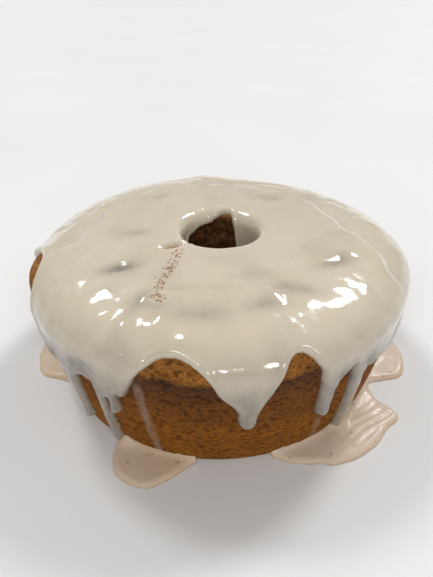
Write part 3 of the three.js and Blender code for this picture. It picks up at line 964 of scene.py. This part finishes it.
CRUMB_STREAK = [(-22.5, -28), (-25, -42), (-26.5, -53), (-28.5, -64), (-27.5, -75)]
STREAK_CRUMBS = 130
STREAK_SPREAD = 1.7           # how far crumbs stray from the streak's middle line
CRUMB_SIZES = (0.22, 0.55)    # least and largest radius
STRAY_CRUMBS = 46
STRAY_SIZES = (0.18, 0.34)
STRAY_REACH = (36, 98)        # nearest and furthest from the cake's middle


def crown_point(x, y, lift):
    """A point on the top of the glaze above a place in plan."""
    azimuth = math.degrees(math.atan2(x, -y))
    along = np.interp(math.hypot(x, y), RADIUS[CREST:], ALONG[CREST:])
    return on_cake(np.array([azimuth]), np.array([along]), np.array([lift]))[0]


def make_crumbs(material):
    """Crumbs sunk in the glaze along a streak by the hole, with a few strays, as one mesh."""
    chance = random.Random(12)
    route = smooth_route(CRUMB_STREAK, steps=12)
    places = []
    for _ in range(STREAK_CRUMBS):
        x, y = route[chance.randrange(len(route))]
        x += chance.gauss(0, STREAK_SPREAD)
        y += chance.gauss(0, STREAK_SPREAD)
        places.append((x, y, chance.uniform(*CRUMB_SIZES)))
    for _ in range(STRAY_CRUMBS):
        angle = chance.uniform(-math.pi, math.pi)
        reach = chance.uniform(*STRAY_REACH)
        size = chance.uniform(*STRAY_SIZES)
        places.append((reach * math.sin(angle), reach * math.cos(angle), size))
    points, faces = [], []
    for x, y, size in places:
        centre = crown_point(x, y, GLAZE_THICKNESS + 0.05 + relief_at(x, y))
        shape = ball(size, chance)
        faces += [[v + len(points) for v in face] for face in shape[1]]
        points += [centre + corner for corner in shape[0]]
    return mesh_object("glazed_crumbs", np.array(points), faces, material)


def relief_at(x, y):
    return float(relief(np.array([[x, y, CROWN_HEIGHT]]))[0])


def ball(size, chance):
    """An uneven lump: corners and faces of a squashed low ball."""
    rings, around = 4, 7
    stretch = np.array([chance.uniform(0.7, 1.3), chance.uniform(0.7, 1.3), 0.55])
    corners = [np.array([0, 0, 1.0])]
    for ring in range(1, rings):
        for step in range(around):
            up, turn = math.pi * ring / rings, 2 * math.pi * step / around
            wobble = chance.uniform(0.8, 1.15)
            flat = math.sin(up) * wobble
            corners.append(np.array([flat * math.cos(turn), flat * math.sin(turn), math.cos(up)]))
    corners.append(np.array([0, 0, -1.0]))
    last = len(corners) - 1
    faces = []
    for step in range(around):
        after = (step + 1) % around
        faces.append([0, 1 + step, 1 + after])
        for ring in range(rings - 2):
            a = 1 + ring * around
            faces.append([a + step, a + around + step, a + around + after, a + after])
        faces.append([last, last - around + after, last - around + step])
    return [corner * stretch * size for corner in corners], faces


# ------------------------------------------------------------------ studio and camera

CAMERA_AT = (0.00197, -0.24336, 0.20812)
CAMERA_PITCH = 0.604
CAMERA_ROLL = -0.018
CAMERA_YAW = 0.012
LENS = 27.2
SENSOR = 36.0

# Far soft lamps: direction from the cake, apparent width in degrees, strength in W per square
# metre. Two behind and overhead make the highlights on the crown; a row of three in front makes
# those on the side.
LAMPS = [
    {"towards": (0.44, 0.54, 0.72), "width": 13, "strength": 1.25},
    {"towards": (-0.35, 0.47, 0.81), "width": 13, "strength": 0.90},
    {"towards": (-0.43, -0.69, 0.56), "width": 10, "strength": 0.36},
    {"towards": (0.04, -0.78, 0.60), "width": 10, "strength": 0.30},
    {"towards": (0.46, -0.68, 0.56), "width": 10, "strength": 0.36},
]
# Brightness of the surroundings by height: 0 at the horizon, 1 overhead.
SKY = [(0.0, 0.90), (0.05, 0.86), (0.25, 0.38), (1.0, 0.32)]
SKY_TINT = (1.0, 0.985, 0.96)


def add_camera():
    camera = bpy.data.objects.new("camera", bpy.data.cameras.new("camera"))
    bpy.context.scene.collection.objects.link(camera)
    camera.data.lens = LENS
    camera.data.sensor_width = SENSOR
    camera.data.clip_start = 0.01
    right = Vector((math.cos(CAMERA_YAW), math.sin(CAMERA_YAW), 0))
    ahead = Vector((-math.sin(CAMERA_YAW), math.cos(CAMERA_YAW), 0))
    forward = ahead * math.cos(CAMERA_PITCH) - Vector((0, 0, math.sin(CAMERA_PITCH)))
    up = ahead * math.sin(CAMERA_PITCH) + Vector((0, 0, math.cos(CAMERA_PITCH)))
    axis_x = right * math.cos(CAMERA_ROLL) + up * math.sin(CAMERA_ROLL)
    axis_y = up * math.cos(CAMERA_ROLL) - right * math.sin(CAMERA_ROLL)
    turn = Matrix((axis_x, axis_y, -forward)).transposed().to_4x4()
    camera.matrix_world = Matrix.Translation(CAMERA_AT) @ turn
    bpy.context.scene.camera = camera


def add_sky():
    """Plain surroundings that are palest at the horizon."""
    world = bpy.data.worlds.new("studio")
    world.use_nodes = True
    tree = world.node_tree
    where = tree.nodes.new("ShaderNodeTexCoord")
    split = tree.nodes.new("ShaderNodeSeparateXYZ")
    ramp = tree.nodes.new("ShaderNodeValToRGB")
    fill_ramp(ramp, [(height, [bright * share for share in SKY_TINT]) for height, bright in SKY])
    tree.links.new(where.outputs["Generated"], split.inputs["Vector"])
    tree.links.new(split.outputs["Z"], ramp.inputs["Fac"])
    tree.links.new(ramp.outputs["Color"], tree.nodes["Background"].inputs["Color"])
    bpy.context.scene.world = world


def add_studio():
    """A plain pale floor, pale surroundings and soft lamps."""
    nodes = Nodes("studio_floor")
    tone = nodes.noise((1, 1, 1), 3, 2, 0.5)
    nodes.link(nodes.ramp(tone, [(0.3, grey(0.80)), (0.7, grey(0.83))]), nodes.shader.inputs["Base Color"])
    nodes.shader.inputs["Roughness"].default_value = 0.7
    side = 60000.0
    corners = np.array([(-side, -side, 0), (side, -side, 0), (side, side, 0), (-side, side, 0)])
    floor = mesh_object("studio_floor", corners - [0, 0, 0.1], [[0, 1, 2, 3]], nodes.material)
    add_sky()
    for order, lamp in enumerate(LAMPS):
        light = bpy.data.lights.new(f"lamp_{order}", "SUN")
        light.energy = lamp["strength"]
        light.angle = math.radians(lamp["width"])
        holder = bpy.data.objects.new(light.name, light)
        towards = Vector(lamp["towards"]).normalized()
        holder.location = towards
        holder.rotation_euler = towards.to_track_quat("Z", "Y").to_euler()
        bpy.context.scene.collection.objects.link(holder)
    bpy.context.scene.view_settings.view_transform = "Standard"


# ------------------------------------------------------------------ the cake

add_camera()
add_studio()

glaze_look = glaze_material(
    "sugar_glaze", base=(0.64, 0.565, 0.425), shade=(0.68, 0.60, 0.47),
    film_and_shade_colour=(0.215, 0.187, 0.162), roughness=0.12, coat=0.75,
)
pool_look = glaze_material(
    "glaze_pool_sugar", base=(0.68, 0.52, 0.36), shade=(0.72, 0.58, 0.45),
    film_and_shade_colour=(0.52, 0.37, 0.25), roughness=0.42, coat=0.1, specks=0.5,
)

crust = make_crust(crust_material())
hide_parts("cake")
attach(crust, BODY)

glaze = make_glaze(glaze_look)
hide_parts("glaze")
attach(glaze, BODY)

for pool_name, pool_shape in POOLS.items():
    pool = make_pool(pool_name, pool_shape, pool_look)
    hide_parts(pool_name)
    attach(pool, BODY)

crumbs = make_crumbs(crumb_material())
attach(crumbs, BODY)
